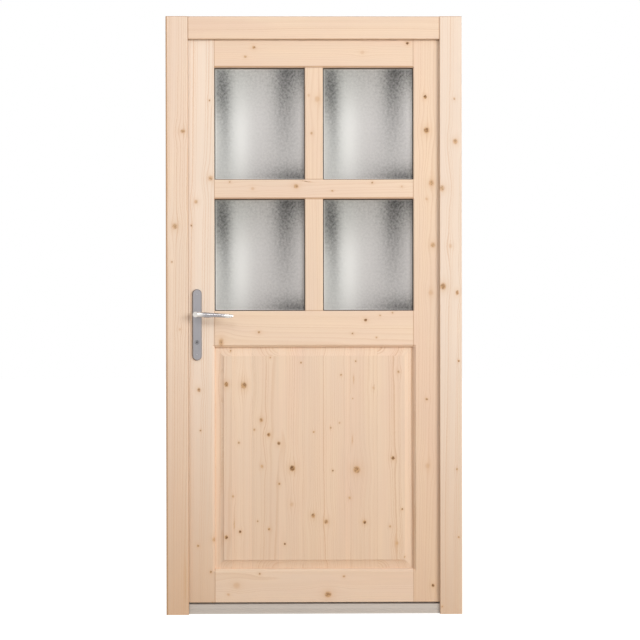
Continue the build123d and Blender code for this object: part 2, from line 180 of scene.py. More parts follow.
# Each noise's size, as patterns to the metre, and how much it is drawn out along the grain. Patches
# and blushes have lots of their own, so that they fall in other places than the bends.
fuzz_scale = 160.0
bend_scale = 7.0
patch_scale = 16.0
blush_scale = 11.0
bark_scale = 190.0
year_scale = 90.0
fibre_scale = 520.0
slow_stretch = 0.18
fibre_stretch = 0.012
patch_lot = 3.7
blush_lot = 8.1

# Rings: taper of the log, uneven years, and late wood through one year, dark at its end
log_taper = 0.006
year_wander = 2.4
late_rise = ((0.5, 0.12), (0.86, 1.0), (0.94, 0.8))
faintest_year = 0.12
year_range = (0.35, 0.65)
ring_relief = 0.5

# Spread of tone from fibre to fibre, patch to patch and stave to stave, and of pith among staves
blush_range = (0.42, 0.72)
yellow_contrast = 0.9
line_gain = 1.1
line_least = 0.1
fibre_contrast = 0.09
patch_contrast = 0.12
stave_contrast = 0.06
seam_darkening = 0.12
# Darkness of the lines of dark joints and painted shade
joint_and_shade_darkening = 0.8
pink_most = 0.75
pith_spread_across = 0.5
pith_spread_depth = 0.12

# A knot's flatness, how hard and how far it pushes the grain, and its core and halo
knot_flatness = 0.8
knot_push = 0.75
push_fade_across = 0.09
push_fade_along = 0.025
core_fade = 0.9
core_stain = 0.75
halo_fade = 0.22
halo_stain = 0.3
amber_gain = 1.45
bark_gain = 1.9
bark_least = 0.05
dark_range = (0.42, 0.95)


def times(tree, first, *others):
    """The product of numbers and sockets."""
    for other in others:
        first = maths(tree, "MULTIPLY", first, other)
    return first


def varied(tree, noise_value, amount, middle=1.0, clamp=False):
    """The middle value, more or less by up to half the amount as the noise goes from 0 to 1."""
    return maths(tree, "MULTIPLY_ADD", noise_value, amount, middle - amount / 2, clamp=clamp)


def ramp(tree, value, start, end, low=0.0, high=1.0, **settings):
    """Low at the start and high at the end, even between them and held beyond them."""
    inputs = {"Value": value, "From Min": start, "From Max": end, "To Min": low, "To Max": high}
    return node(tree, "ShaderNodeMapRange", inputs, **settings).outputs[0]


def blend(tree, share, first, second):
    """Two colours, with this share of the second."""
    return node(tree, "ShaderNodeMix", {0: share, 6: first, 7: second}, data_type="RGBA").outputs[2]


def toned(tree, colour, brightness):
    """A colour made lighter or darker."""
    return node(tree, "ShaderNodeVectorMath", {0: colour, "Scale": brightness}, operation="SCALE").outputs[0]


def noise(tree, place, scale, detail=2.0, lot=None):
    """Soft noise at a place. Each lot is another pattern of the same kind."""
    inputs = {"Vector": place, "Scale": scale, "Detail": detail}
    if lot is None:
        return node(tree, "ShaderNodeTexNoise", inputs).outputs["Fac"]
    return node(tree, "ShaderNodeTexNoise", {**inputs, "W": lot}, noise_dimensions="4D").outputs["Fac"]


def noise_along(tree, run, scale):
    """Soft noise along one measure."""
    inputs = {"W": times(tree, run, scale), "Scale": 1.0, "Detail": 2.0}
    return node(tree, "ShaderNodeTexNoise", inputs, noise_dimensions="1D").outputs["Fac"]


def vector(tree, x, y, z):
    """A vector from its parts."""
    return node(tree, "ShaderNodeCombineXYZ", {0: x, 1: y, 2: z}).outputs[0]


def parts_of(tree, place):
    """X, Y and Z of a vector."""
    return node(tree, "ShaderNodeSeparateXYZ", {0: place}).outputs


def distance(tree, first, second):
    """How far apart two places are."""
    return node(tree, "ShaderNodeVectorMath", {0: first, 1: second}, operation="DISTANCE").outputs["Value"]


def object_place(tree):
    """The place on the door, in metres."""
    return node(tree, "ShaderNodeTexCoord").outputs["Object"]


def finish_surface(tree, inputs):
    """Close a material's tree with its surface."""
    surface = node(tree, "ShaderNodeBsdfPrincipled", inputs)
    node(tree, "ShaderNodeOutputMaterial", {"Surface": surface.outputs[0]})


def knot_group():
    """Node group: pushes the grain aside round one knot and gives the knot's own stain."""
    group = bpy.data.node_groups.new("knot", "ShaderNodeTree")
    for name in ("Across", "Along", "Centre Across", "Centre Along", "Radius", "Stretch", "Depth", "Stain"):
        group.interface.new_socket(name, in_out="INPUT", socket_type="NodeSocketFloat")
    for name in ("Across", "Stain"):
        group.interface.new_socket(name, in_out="OUTPUT", socket_type="NodeSocketFloat")
    given = node(group, "NodeGroupInput").outputs
    across = maths(group, "SUBTRACT", given["Across"], given["Centre Across"])
    along = maths(group, "SUBTRACT", given["Along"], given["Centre Along"])
    radii_across = maths(group, "DIVIDE", across, given["Radius"])
    radii_along = maths(group, "DIVIDE", maths(group, "DIVIDE", along, given["Radius"]), given["Stretch"])
    square_across = times(group, radii_across, radii_across)
    square_along = times(group, radii_along, radii_along)
    fade_across = times(group, square_across, -push_fade_across)
    fade = maths(group, "MULTIPLY_ADD", square_along, -push_fade_along, fade_across)
    shift = times(group, across, maths(group, "EXPONENT", fade), -knot_push)
    far = maths(group, "MULTIPLY_ADD", square_along, knot_flatness, square_across)
    core = maths(group, "EXPONENT", times(group, far, far, -core_fade))
    halo = maths(group, "EXPONENT", times(group, far, -halo_fade))
    stain = maths(group, "MULTIPLY_ADD", halo, halo_stain, times(group, core, core_stain))
    node(group, "NodeGroupOutput", {
        "Across": maths(group, "ADD", given["Across"], shift),
        "Stain": maths(group, "MAXIMUM", given["Stain"], times(group, stain, given["Depth"])),
    })
    return group


knot_nodes = knot_group()


def knotted(tree, across, along, grain, knots):
    """The grain pushed aside round each knot, and the stain of all the knots together."""
    stain = 0.0
    for x, z, radius, depth, *stretch in knots:
        centre = (x, z) if grain == "Z" else (z, x)
        knot = node(tree, "ShaderNodeGroup", {
            "Across": across, "Along": along, "Stain": stain,
            "Centre Across": centre[0] / 1000, "Centre Along": centre[1] / 1000,
            "Radius": radius / 1000, "Stretch": stretch[0] if stretch else 1.0, "Depth": depth,
        }, node_tree=knot_nodes)
        across, stain = knot.outputs["Across"], knot.outputs["Stain"]
    return across, stain


def glued_up(tree, x, pith, lot, staves):
    """The glue lines, each stave's own tone, and the pith of the log that it was sawn from."""
    count, seam = 0.0, 0.0
    for edge in staves:
        count = maths(tree, "ADD", count, maths(tree, "GREATER_THAN", x, edge / 1000))
        off = maths(tree, "ABSOLUTE", maths(tree, "SUBTRACT", x, edge / 1000))
        seam = maths(tree, "MAXIMUM", seam, maths(tree, "LESS_THAN", off, glue_line / 2))
    stave_lot = maths(tree, "ADD", count, lot)
    chance = node(tree, "ShaderNodeTexWhiteNoise", {"W": stave_lot}, noise_dimensions="1D")
    drawn = node(tree, "ShaderNodeSeparateColor", {0: chance.outputs["Color"]}).outputs
    pith_across = varied(tree, drawn[1], pith_spread_across, pith[0])
    pith_depth = maths(tree, "MULTIPLY_ADD", drawn[2], pith_spread_depth, pith[1])
    return seam, drawn[0], (pith_across, pith_depth)


def growth_rings(tree, across, depth, along, bend, pith):
    """The late wood of the rings round the pith, and how the years differ."""
    section = vector(tree, maths(tree, "MULTIPLY_ADD", bend, ring_bend, across), depth, 0.0)
    radius = distance(tree, section, vector(tree, *pith, 0.0))
    radius = maths(tree, "MULTIPLY_ADD", along, log_taper, radius)
    years = noise_along(tree, radius, year_scale)
    ring = maths(tree, "MULTIPLY_ADD", years, year_wander, maths(tree, "DIVIDE", radius, ring_spacing))
    late = node(tree, "ShaderNodeValToRGB", {0: maths(tree, "FRACT", ring)})
    stops = late.color_ramp.elements
    for stop, position in ((stops[0], 0.0), (stops[1], 1.0)):
        stop.position, stop.color = position, (0, 0, 0, 1)
    for position, level in late_rise:
        stops.new(position).color = (level, level, level, 1)
    return late.outputs[0], years


def spruce(
    name, grain, pith, lot, knots=(), joints=(), staves=(),
    tone=1.0, yellow=0.35, white=0.1, floor_shade=0.0, bold=0.6,
):
    """Bare spruce with its grain along Z or X and its pith at (across, depth) metres.

    A knot is (x, z, radius, depth, stretch along the grain) in millimetres, with its depth from 0 to 1.
    A joint-and-shade line is an axis and its place in metres, and a stave's edge an x in millimetres.
    The lines are dark joints between members, painted shade under rails, at the covers' inner edges and
    along the outer left arris, and a dark line along the frame's top edge. Yellow and white are the
    shares of yellower wood and paler sapwood, the floor shade is the share of painted shade, darker and
    browner towards the floor, and bold is the strength of the rings.
    """
    material, tree = new_material(f"spruce_{name}")
    place = object_place(tree)
    axes = parts_of(tree, place)
    across, along = (axes["X"], axes["Z"]) if grain == "Z" else (axes["Z"], axes["X"])
    depth = axes["Y"]
    fuzz_inputs = {"Vector": place, "Scale": fuzz_scale, "Detail": 2.0}
    fuzz = parts_of(tree, node(tree, "ShaderNodeTexNoise", fuzz_inputs).outputs["Color"])
    across = maths(tree, "ADD", across, varied(tree, fuzz[0], fuzz_across, 0.0))
    along = maths(tree, "ADD", along, varied(tree, fuzz[1], fuzz_along, 0.0))
    across, stain = knotted(tree, across, along, grain, knots)
    if staves:
        seam, stave_tone, pith = glued_up(tree, axes["X"], pith, lot, staves)

    slow_place = vector(tree, across, depth, times(tree, along, slow_stretch))
    fibre_place = vector(tree, across, depth, times(tree, along, fibre_stretch))
    bend = noise(tree, slow_place, bend_scale, lot=lot)
    patch = noise(tree, slow_place, patch_scale, lot=lot + patch_lot)
    blush = noise(tree, slow_place, blush_scale, detail=3.0, lot=lot + blush_lot)
    fibre = noise(tree, fibre_place, fibre_scale, detail=3.0, lot=lot)
    bark = noise(tree, place, bark_scale)
    late, years = growth_rings(tree, across, depth, along, bend, pith)

    early = blend(tree, varied(tree, patch, yellow_contrast, yellow, clamp=True), pale_wood, yellow_wood)
    early = blend(tree, ramp(tree, blush, *blush_range, high=pink_most), early, pink_wood)
    early = blend(tree, white, early, white_wood)
    # Painted shade: darker and browner towards the floor, by this member's share.
    if floor_shade:
        early = blend(tree, ramp(tree, axes["Z"], floor_shade_top, 0.0, high=floor_shade), early, floor_shade_brown)
    strength = ramp(tree, years, *year_range, low=faintest_year, high=bold)
    line_share = times(tree, late, strength, maths(tree, "MULTIPLY_ADD", patch, line_gain, line_least))
    grained = blend(tree, line_share, early, late_wood)

    brightness = times(tree, varied(tree, fibre, fibre_contrast, tone), varied(tree, patch, patch_contrast))
    if staves:
        seam_tone = maths(tree, "MULTIPLY_ADD", seam, -seam_darkening, 1.0)
        brightness = times(tree, brightness, varied(tree, stave_tone, stave_contrast), seam_tone)
    colour = toned(tree, grained, brightness)
    colour = blend(tree, maths(tree, "MULTIPLY", stain, amber_gain, clamp=True), colour, knot_amber)
    dark = times(tree, stain, maths(tree, "MULTIPLY_ADD", bark, bark_gain, bark_least))
    colour = blend(tree, ramp(tree, dark, *dark_range), colour, knot_brown)
    # Dark lines: real joints between members; painted shade under rails, at the covers' inner edges and along
    # the outer left arris; and a dark line along the frame's top edge.
    if joints:
        shade = 0.0
        for axis, line_place in joints:
            off = maths(tree, "ABSOLUTE", maths(tree, "SUBTRACT", axes[axis], line_place))
            near = ramp(tree, off, joint_and_shade_reach, joint_and_shade_core, high=joint_and_shade_darkening)
            shade = maths(tree, "MAXIMUM", shade, near)
        colour = blend(tree, shade, colour, joint_and_shade_brown)

    relief = maths(tree, "MULTIPLY_ADD", late, ring_relief, fibre)
    bump = node(tree, "ShaderNodeBump", {"Strength": 0.12, "Distance": grain_relief, "Height": relief})
    finish_surface(tree, {
        "Base Color": colour, "Roughness": varied(tree, fibre, 0.15, 0.575),
        "Specular IOR Level": 0.3, "Normal": bump.outputs[0],
    })
    return material


def give(material, *names):
    """Give CAD nodes a material."""
    for name in names:
        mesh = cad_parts[name].data
        mesh.materials.clear()
        mesh.materials.append(material)


left_edge, left_cover_edge = (corner[0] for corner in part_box("cover_left"))
right_cover_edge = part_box("cover_right")[0][0]
frame_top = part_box("head")[1][2]
left_jamb_knots = (
    (-433, 1600, 8, 0.55, 0.7), (-460, 1286, 9, 0.52), (-470, 1168, 3, 0.5), (-444, 945, 4, 0.3),
    (-427, 115, 4, 0.25, 18),
)
# Painted shade: dark lines along the jamb's outer left arris, and at the cover's inner edge where the gap to
# the leaf falls in shade.
left_jamb_shade_lines = (left_edge, left_edge + 0.0020, left_edge + 0.0035, left_cover_edge + 0.0010)
left_jamb = spruce(
    "jamb_left", "Z", (-0.36, 0.06), 1.3, left_jamb_knots,
    joints=(*(("X", line) for line in left_jamb_shade_lines), ("Z", frame_top)),
    tone=1.03, yellow=0.3, white=0.45, floor_shade=0.58, bold=1.3,
)
give(left_jamb, "jamb_left", "cover_left")

right_jamb_knots = (
    (465, 1707, 4, 0.45), (468, 1566, 8, 0.55), (424, 1411, 9, 0.5), (452, 1220, 6, 0.3),
    (427, 1086, 10, 0.62), (470, 1065, 7, 0.62), (479, 839, 3, 0.7), (472, 480, 3, 0.6),
    (478, 255, 3, 0.6), (423, 25, 3, 0.6),
)
# Painted shade at the cover's inner edge, deepening the shadow beside the hinge stile.
right_jamb = spruce(
    "jamb_right", "Z", (0.56, 0.1), 2.9, right_jamb_knots,
    joints=(("X", right_cover_edge - 0.0010), ("Z", frame_top)),
    yellow=0.2, white=0.85, floor_shade=0.5, bold=0.75,
)
give(right_jamb, "jamb_right", "cover_right")
head = spruce(
    "head", "X", (2.1, 0.05), 4.1,
    joints=(("X", left_cover_edge), ("X", right_cover_edge), ("Z", frame_top)),
    tone=0.975, yellow=0.3,
)
give(head, "head", "cover_head")

lock_stile_knots = (
    (-346, 1704, 3, 0.6), (-343, 1446, 8, 0.5), (-391, 1368, 6, 0.5), (-407, 1290, 2.5, 0.7),
    (-383, 744, 6, 0.58), (-378, 609, 3, 0.6), (-386, 226, 4, 0.6), (-344, 139, 4, 0.6),
    (-332, 246, 7, 0.5), (-339, 37, 3, 0.6),
)
lock_stile = spruce(
    "lock_stile", "Z", (-0.30, 0.12), 5.7, lock_stile_knots,
    tone=1.05, yellow=0.3, white=0.88, floor_shade=0.6, bold=0.8,
)
give(lock_stile, "lock_stile")

hinge_stile_knots = (
    (370, 1716, 5, 0.85), (374, 1605, 9, 0.68), (390, 1430, 9, 0.5), (378, 1377, 4, 0.35),
    (395, 1224, 8, 0.5), (388, 1066, 8, 0.3), (374, 712, 4, 0.6), (376, 490, 8, 0.28), (394, 92, 5, 0.8),
)
hinge_stile = spruce(
    "hinge_stile", "Z", (0.44, 0.08), 7.2, hinge_stile_knots,
    tone=0.995, yellow=0.4, floor_shade=0.35, bold=0.8,
)
give(hinge_stile, "hinge_stile")

stile_joints = (("X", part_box("lock_stile")[1][0]), ("X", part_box("hinge_stile")[0][0]))
top_rail_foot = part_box("top_rail")[0][2]
crossrail_foot, crossrail_top = (corner[2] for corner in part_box("crossrail"))
lock_rail_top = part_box("lock_rail")[1][2]

top_rail_knots = ((-199, 1880, 5, 0.6), (-227, 1850, 4, 0.5), (162, 1863, 6, 0.25), (311, 1894, 4, 0.9))
# Painted shade: a dark band along the top rail's lower edge, above the upper panes, where its underside falls
# in shade. The lines at the stiles are dark joints.
top_rail = spruce(
    "top_rail", "X", (1.80, 0.07), 8.8, top_rail_knots,
    joints=(*stile_joints, ("Z", top_rail_foot + 0.0030)), tone=0.99,
)
give(top_rail, "top_rail")

crossrail_knots = (
    (-279, 1434, 3, 0.5), (-203, 1412, 5, 0.35), (-59, 1419, 7, 0.55), (194, 1431, 3, 0.6),
    (61, 1404, 3, 0.5), (292, 1418, 3, 0.35), (-25, 1431, 1, 0.7, 16),
)
# Painted shade: a dark band along the crossrail's lower edge, above the lower panes, where its underside
# falls in shade. The lines at the stiles are dark joints.
crossrail = spruce(
    "crossrail", "X", (1.47, 0.09), 10.4, crossrail_knots,
    joints=(*stile_joints, ("Z", crossrail_foot + 0.0025)), yellow=0.4, white=0.25,
)
give(crossrail, "crossrail")

lock_rail_knots = (
    (-183, 935, 4, 0.6), (171, 975, 4, 0.9), (128, 930, 3, 0.6), (207, 917, 3, 0.5), (261, 999, 3, 0.5),
    (219, 990, 3, 0.5), (-309, 902, 13, 0.5, 0.55), (60, 881, 5, 0.3, 2.2),
)
lock_rail = spruce(
    "lock_rail", "X", (0.90, 0.10), 11.9, lock_rail_knots,
    joints=stile_joints, tone=1.01, yellow=0.4, white=0.15,
)
give(lock_rail, "lock_rail")

bottom_rail_knots = (
    (-182, 132, 4, 0.5), (-259, 94, 10, 0.3), (-286, 72, 5, 0.4), (98, 123, 4, 0.5), (45, 63, 10, 0.62),
    (-3, 38, 4, 0.6),
)
bottom_rail = spruce(
    "bottom_rail", "X", (0.13, 0.06), 13.1, bottom_rail_knots,
    joints=stile_joints, tone=0.965,
)
give(bottom_rail, "bottom_rail")

upper_bar_knots = ((-17, 1721, 4, 0.3), (11, 1709, 9, 0.34), (-7, 1595, 4, 0.45))
upper_bar = spruce(
    "glazing_bar_upper", "Z", (0.05, 0.09), 14.6, upper_bar_knots,
    joints=(("Z", crossrail_top), ("Z", top_rail_foot)), tone=0.99,
)
give(upper_bar, "glazing_bar_upper")
lower_bar = spruce(
    "glazing_bar_lower", "Z", (-0.06, 0.08), 15.2,
    joints=(("Z", lock_rail_top), ("Z", crossrail_foot)), tone=0.995,
)
give(lower_bar, "glazing_bar_lower")

# Raised panel
# Glued up from spruce staves of uneven width, then coved on both faces, so the cove cuts through the
# rings. It sits loose in grooves in the stiles and rails.
panel_staves = (-311, -275, -207, -120, -94, -38, 29, 102, 120, 211, 282)
panel_knots = (
    (-278, 873, 3, 0.6), (-146, 851, 3, 0.5), (-44, 834, 3, 0.6), (-292, 762, 7, 0.7), (-234, 758, 10, 0.62),
    (-176, 643, 6, 0.6), (-197, 611, 4, 0.5), (-152, 594, 6, 0.7), (-119, 565, 6, 0.6), (-251, 567, 4, 0.5),
    (-2, 603, 3, 0.6), (-174, 489, 5, 0.5), (-73, 482, 8, 0.9), (-116, 431, 4, 0.6), (138, 838, 3, 0.5),
    (89, 792, 3, 0.6), (197, 749, 4, 0.3), (281, 802, 4, 0.5), (84, 633, 3, 0.4), (55, 616, 3, 0.5),
    (262, 515, 5, 0.9), (141, 477, 11, 0.62), (-271, 389, 4, 0.5), (-293, 253, 5, 0.9), (-189, 306, 3, 0.5),
    (-151, 280, 4, 0.6), (-99, 230, 3, 0.9), (119, 383, 4, 0.5), (39, 304, 7, 0.6), (-3, 324, 7, 0.6),
    (167, 302, 5, 0.9), (252, 288, 4, 0.5), (275, 232, 5, 0.4), (300, 186, 3, 0.5), (292, 345, 3, 0.7),
    (-247, 271, 4, 0.85), (128, 714, 2, 0.5), (62, 474, 3, 0.8), (-75, 362, 6, 0.3), (131, 778, 2, 0.4, 7),
    (128, 576, 2, 0.4, 7), (-266, 294, 2, 0.4, 7),
)
raised_panel = spruce(
    "raised_panel", "Z", (0.0, 0.04), 17.0, panel_knots, staves=panel_staves,
    tone=1.01, yellow=0.4, white=0.2, floor_shade=0.26, bold=1.0,
)
give(raised_panel, "raised_panel")

# Beads
# Mitred strips of the same spruce, laid into the rebates from inside to hold the panes. They are cut
# from one batch of stock.
bead_wood = spruce("beads", "Z", (0.0, 0.5), 21.0)
places = ("upper_left", "upper_right", "lower_left", "lower_right")
give(bead_wood, *(f"bead_{place}" for place in places))

# Panes
# Rolled glass with a fine ripple on one face, set in the rebates of the stiles, rails and bars. The
# studio blurred behind it is painted light and shade in its colour: soft upright bands, a darker top
# and lower right, and a light line inside the edges.
glass_grey = 0.60
top_shade = 0.17
foot_shade = 0.09
# Painted highlight just inside the pane's left, lower and upper edges
rim_highlight_start = 0.0142
rim_highlight_end = 0.0182
rim_highlight_gain = 0.20
band_waver = 0.05
waver_scale = 90.0
ripple_scale = 125.0
ripple_relief = 0.001
speckle_depth = 1.05
speckle_gain = 5.5
speckle_power = 3.0
upper_span = (0.45, 1.1)
lower_span = (0.28, 0.0)
right_span = (0.1, 0.6)
red_share, red_gain = 0.980, 0.030
green_share, green_gain = 1.0, -0.010
blue_share, blue_gain = 0.980, -0.030
painted_glass_bands = (
    # Centre across and up, spread across and up, as shares of the pane, and strength: above nought
    # painted light, below nought painted shade
    (0.11, 0.80, 0.090, 0.26, -0.33),
    (0.15, 0.46, 0.050, 0.30, -0.12),
    (0.30, 0.40, 0.120, 0.46, 0.28),
    (0.50, 0.55, 0.120, 0.50, 0.07),
    (0.00, 0.34, 0.090, 0.34, 0.14),
    (0.76, 0.86, 0.110, 0.50, -0.27),
    (1.02, 1.02, 0.240, 0.20, -0.30),
    (0.97, 0.46, 0.080, 0.34, 0.06),
    (0.88, 0.02, 0.260, 0.11, -0.33),
    (0.30, 0.02, 0.300, 0.05, -0.05),
)
smooth = {"interpolation_type": "SMOOTHSTEP"}


def pane_glass(name, low, high):
    """Obscured glass with painted bands of light and shade, placed by the pane's own width and height."""
    material, tree = new_material(f"glass_{name}")
    size = high - low
    own = node(tree, "ShaderNodeVectorMath", {0: object_place(tree), 1: low}, operation="SUBTRACT").outputs[0]
    share = node(tree, "ShaderNodeVectorMath", {0: own, 1: (size.x, 1, size.z)}, operation="DIVIDE")
    shares = parts_of(tree, share.outputs[0])
    waver = varied(tree, noise(tree, own, waver_scale, detail=3.0), band_waver, 0.0)
    share_across, share_up = maths(tree, "ADD", shares["X"], waver), shares["Z"]

    # Painted shade: darker at the top and towards the lower right; painted light and shade in soft bands.
    upper = ramp(tree, share_up, *upper_span, **smooth)
    lower = ramp(tree, share_up, *lower_span, **smooth)
    right = ramp(tree, share_across, *right_span, **smooth)
    level = maths(tree, "MULTIPLY_ADD", upper, -top_shade, glass_grey)
    level = maths(tree, "MULTIPLY_ADD", times(tree, lower, right), -foot_shade, level)
    for centre_across, centre_up, spread_across, spread_up, strength in painted_glass_bands:
        off_across = times(tree, maths(tree, "SUBTRACT", share_across, centre_across), 1 / spread_across)
        off_up = times(tree, maths(tree, "SUBTRACT", share_up, centre_up), 1 / spread_up)
        far = maths(tree, "MULTIPLY_ADD", off_across, off_across, times(tree, off_up, off_up))
        band = maths(tree, "EXPONENT", times(tree, far, -1.0))
        level = maths(tree, "MULTIPLY_ADD", band, strength, level)

    # Painted highlight: a light line just inside the left, lower and upper edges.
    inside = parts_of(tree, own)
    from_top = maths(tree, "SUBTRACT", size.z, inside["Z"])
    edge = maths(tree, "MINIMUM", inside["X"], maths(tree, "MINIMUM", inside["Z"], from_top))
    level = maths(tree, "ADD", level, ramp(tree, edge, rim_highlight_end, rim_highlight_start, high=rim_highlight_gain, **smooth))

    # The ripple speckles the painted shade more than the painted light.
    ripple_inputs = {"Vector": own, "Scale": ripple_scale, "Detail": 2.0, "Roughness": 0.7}
    ripple = node(tree, "ShaderNodeTexNoise", ripple_inputs).outputs["Fac"]
    darkness = maths(tree, "POWER", maths(tree, "SUBTRACT", speckle_depth, level), speckle_power)
    speckle = times(tree, maths(tree, "SUBTRACT", ripple, 0.5), darkness, speckle_gain)
    level = times(tree, level, maths(tree, "ADD", speckle, 1.0))
    # Painted light: a little warmer towards the right and cooler towards the top.
    red = maths(tree, "MULTIPLY_ADD", right, red_gain, red_share)
    green = maths(tree, "MULTIPLY_ADD", right, green_gain, green_share)
    blue = maths(tree, "MULTIPLY_ADD", upper, blue_gain, blue_share)
    channels = {k: times(tree, level, tint) for k, tint in enumerate((red, green, blue))}
    colour = node(tree, "ShaderNodeCombineColor", channels).outputs[0]
    bump = node(tree, "ShaderNodeBump", {"Strength": 0.2, "Distance": ripple_relief, "Height": ripple})
    finish_surface(tree, {
        "Base Color": colour, "Roughness": 0.28, "IOR": 1.45, "Transmission Weight": 0.35,
        "Specular IOR Level": 0.35, "Normal": bump.outputs[0],
    })
    return material


for place in places:
    low, high = (Vector(corner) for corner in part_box(f"glass_{place}"))
    give(pane_glass(place, low, high), f"glass_{place}")

# Glazing seals
# Dark rubber strips pressed in between the glass and the wood round each pane, seen from outside as
# a fine line. Each is a flat ring with mitred corners and a rounded nose.
rebate_cover = 0.010
seal_reach = 0.0032
seal_height = 0.0016
nose_start = seal_reach * 0.6
seal_section = (
    (0, 0), (0, seal_height), (nose_start, seal_height), (seal_reach, seal_height / 2), (seal_reach, 0),
)

# The unevenness of all the plain finishes
finish_scale = 900.0
finish_contrast = 0.12
finish_relief = 0.0002


def finish_material(name, colour, metallic, roughness, brushed, stretch=(1, 1, 1)):
    """A plain finish with a fine, stretched unevenness in tone and gloss."""
    material, tree = new_material(name)
    place = node(tree, "ShaderNodeVectorMath", {0: object_place(tree), 1: stretch}, operation="MULTIPLY")
    uneven = noise(tree, place.outputs[0], finish_scale, detail=3.0)
    bump = node(tree, "ShaderNodeBump", {"Strength": brushed, "Distance": finish_relief, "Height": uneven})
    finish_surface(tree, {
        "Base Color": toned(tree, colour, varied(tree, uneven, finish_contrast)), "Metallic": metallic,
        "Roughness": varied(tree, uneven, finish_contrast, roughness), "Normal": bump.outputs[0],
    })
    return material


def new_piece(name, mesh, body, slot, *materials):
    """A piece of the object from a finished mesh, riding on its body."""
    for material in materials:
        mesh.materials.append(material)
    piece = bpy.data.objects.new(name, mesh)
    bpy.context.scene.collection.objects.link(piece)
    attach(piece, body)
    return piece


def rectangle(low, high, inset):
    """X and Z of four corners inset from a box's edges, from the lower left and then along the foot."""
    left, right = low.x + inset, high.x - inset
    foot, top = low.z + inset, high.z - inset
    return (left, foot), (right, foot), (right, top), (left, top)


seal_points, seal_faces = [], []
for place in places:
    low, high = (Vector(corner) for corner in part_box(f"glass_{place}"))
    first = len(seal_points)
    for inward, proud in seal_section:
        seal_points += [(x, low.y - proud, z) for x, z in rectangle(low, high, rebate_cover + inward)]
    for ring in range(len(seal_section)):
        here, there = first + 4 * ring, first + 4 * ((ring + 1) % len(seal_section))
        for corner in range(4):
            after = (corner + 1) % 4
            seal_faces.append((here + corner, there + corner, there + after, here + after))
seal_mesh = bpy.data.meshes.new("glazing_seals")
seal_mesh.from_pydata(seal_points, [], seal_faces)
glazing_rubber = finish_material(
    "glazing_rubber", (0.050, 0.042, 0.035), metallic=0.0, roughness=0.6, brushed=0.1,
)
new_piece("glazing_seals", seal_mesh, "leaf", "seal_rubber", glazing_rubber)

# Bead pins
# Fine steel pins that hold the beads, driven in a hand's width apart along the middle of each strip.
# Half of each head stands proud of the wood.
pin_spacing = 0.085
pin_radius = 0.0008
pin_height = 0.0006
pin_inset = 0.0035


def pin_tree():
    """Geometry Nodes: round pin heads at even steps along the edges of a mesh, facing +Y."""
    tree = bpy.data.node_groups.new("bead_pins", "GeometryNodeTree")
    tree.interface.new_socket("Lines", in_out="INPUT", socket_type="NodeSocketGeometry")
    for name in ("Spacing", "Radius", "Height"):
        tree.interface.new_socket(name, in_out="INPUT", socket_type="NodeSocketFloat")
    tree.interface.new_socket("Finish", in_out="INPUT", socket_type="NodeSocketMaterial")
    tree.interface.new_socket("Pins", in_out="OUTPUT", socket_type="NodeSocketGeometry")
    given = node(tree, "NodeGroupInput").outputs
    lines = node(tree, "GeometryNodeMeshToCurve", {"Mesh": given["Lines"]}).outputs[0]
    step_inputs = {"Curve": lines, "Length": given["Spacing"]}
    steps = node(tree, "GeometryNodeCurveToPoints", step_inputs, mode="LENGTH").outputs["Points"]
    head_inputs = {"Vertices": 8, "Radius": given["Radius"], "Depth": given["Height"]}
    pin_head = node(tree, "GeometryNodeMeshCylinder", head_inputs).outputs["Mesh"]
    pin_inputs = {"Points": steps, "Instance": pin_head, "Rotation": (math.pi / 2, 0, 0)}
    pins = node(tree, "GeometryNodeInstanceOnPoints", pin_inputs).outputs[0]
    made = node(tree, "GeometryNodeRealizeInstances", {"Geometry": pins}).outputs[0]
    finished = node(tree, "GeometryNodeSetMaterial", {"Geometry": made, "Material": given["Finish"]})
    node(tree, "NodeGroupOutput", {"Pins": finished.outputs[0]})
    return tree


def grow(name, mesh, tree, values):
    """The plain mesh that a Geometry Nodes tree makes of a mesh with these named inputs."""
    source = bpy.data.objects.new(name, mesh)
    bpy.context.scene.collection.objects.link(source)
    modifier = source.modifiers.new(name, "NODES")
    modifier.node_group = tree
    for socket in tree.interface.items_tree:
        if socket.in_out == "INPUT" and socket.name in values:
            modifier[socket.identifier] = values[socket.name]
    made = source.evaluated_get(bpy.context.evaluated_depsgraph_get())
    grown = bpy.data.meshes.new_from_object(made)
    bpy.data.objects.remove(source)
    grown.name = name
    return grown


pin_points, pin_edges = [], []
for place in places:
    low, high = (Vector(corner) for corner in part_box(f"bead_{place}"))
    first = len(pin_points)
    pin_points += [(x, high.y, z) for x, z in rectangle(low, high, pin_inset)]
    pin_edges += [(first + k, first + (k + 1) % 4) for k in range(4)]
pin_lines = bpy.data.meshes.new("bead_pin_lines")
pin_lines.from_pydata(pin_points, pin_edges, [])
pin_steel = finish_material("pin_steel", (0.30, 0.29, 0.28), metallic=0.8, roughness=0.4, brushed=0.05)
pin_values = {"Spacing": pin_spacing, "Radius": pin_radius, "Height": pin_height, "Finish": pin_steel}
new_piece("bead_pins", grow("bead_pins", pin_lines, pin_tree(), pin_values), "leaf", "lock_steel")

# Long plates and key cylinder
# Satin-anodised aluminium plates on both faces of the lock stile, and a profile cylinder through
# them. Painted shade draws the gap round its round plug as a fine dark ring, and a shallow dish round
# the keyway as a dark disc.
satin_grey = (0.338, 0.327, 0.340)
nickel_grey = (0.355, 0.345, 0.355)
brush_stretch = (1, 1, 0.05)
plug_radius = 0.0066
# Painted shade: a dark ring in the gap round the plug, and a dark disc for a dish round the keyway
plug_gap = 0.0006
gap_shade = 0.75
dish_radius = 0.0042
dish_shade = 0.5
turning_scale = 20000.0
turning_contrast = 0.12

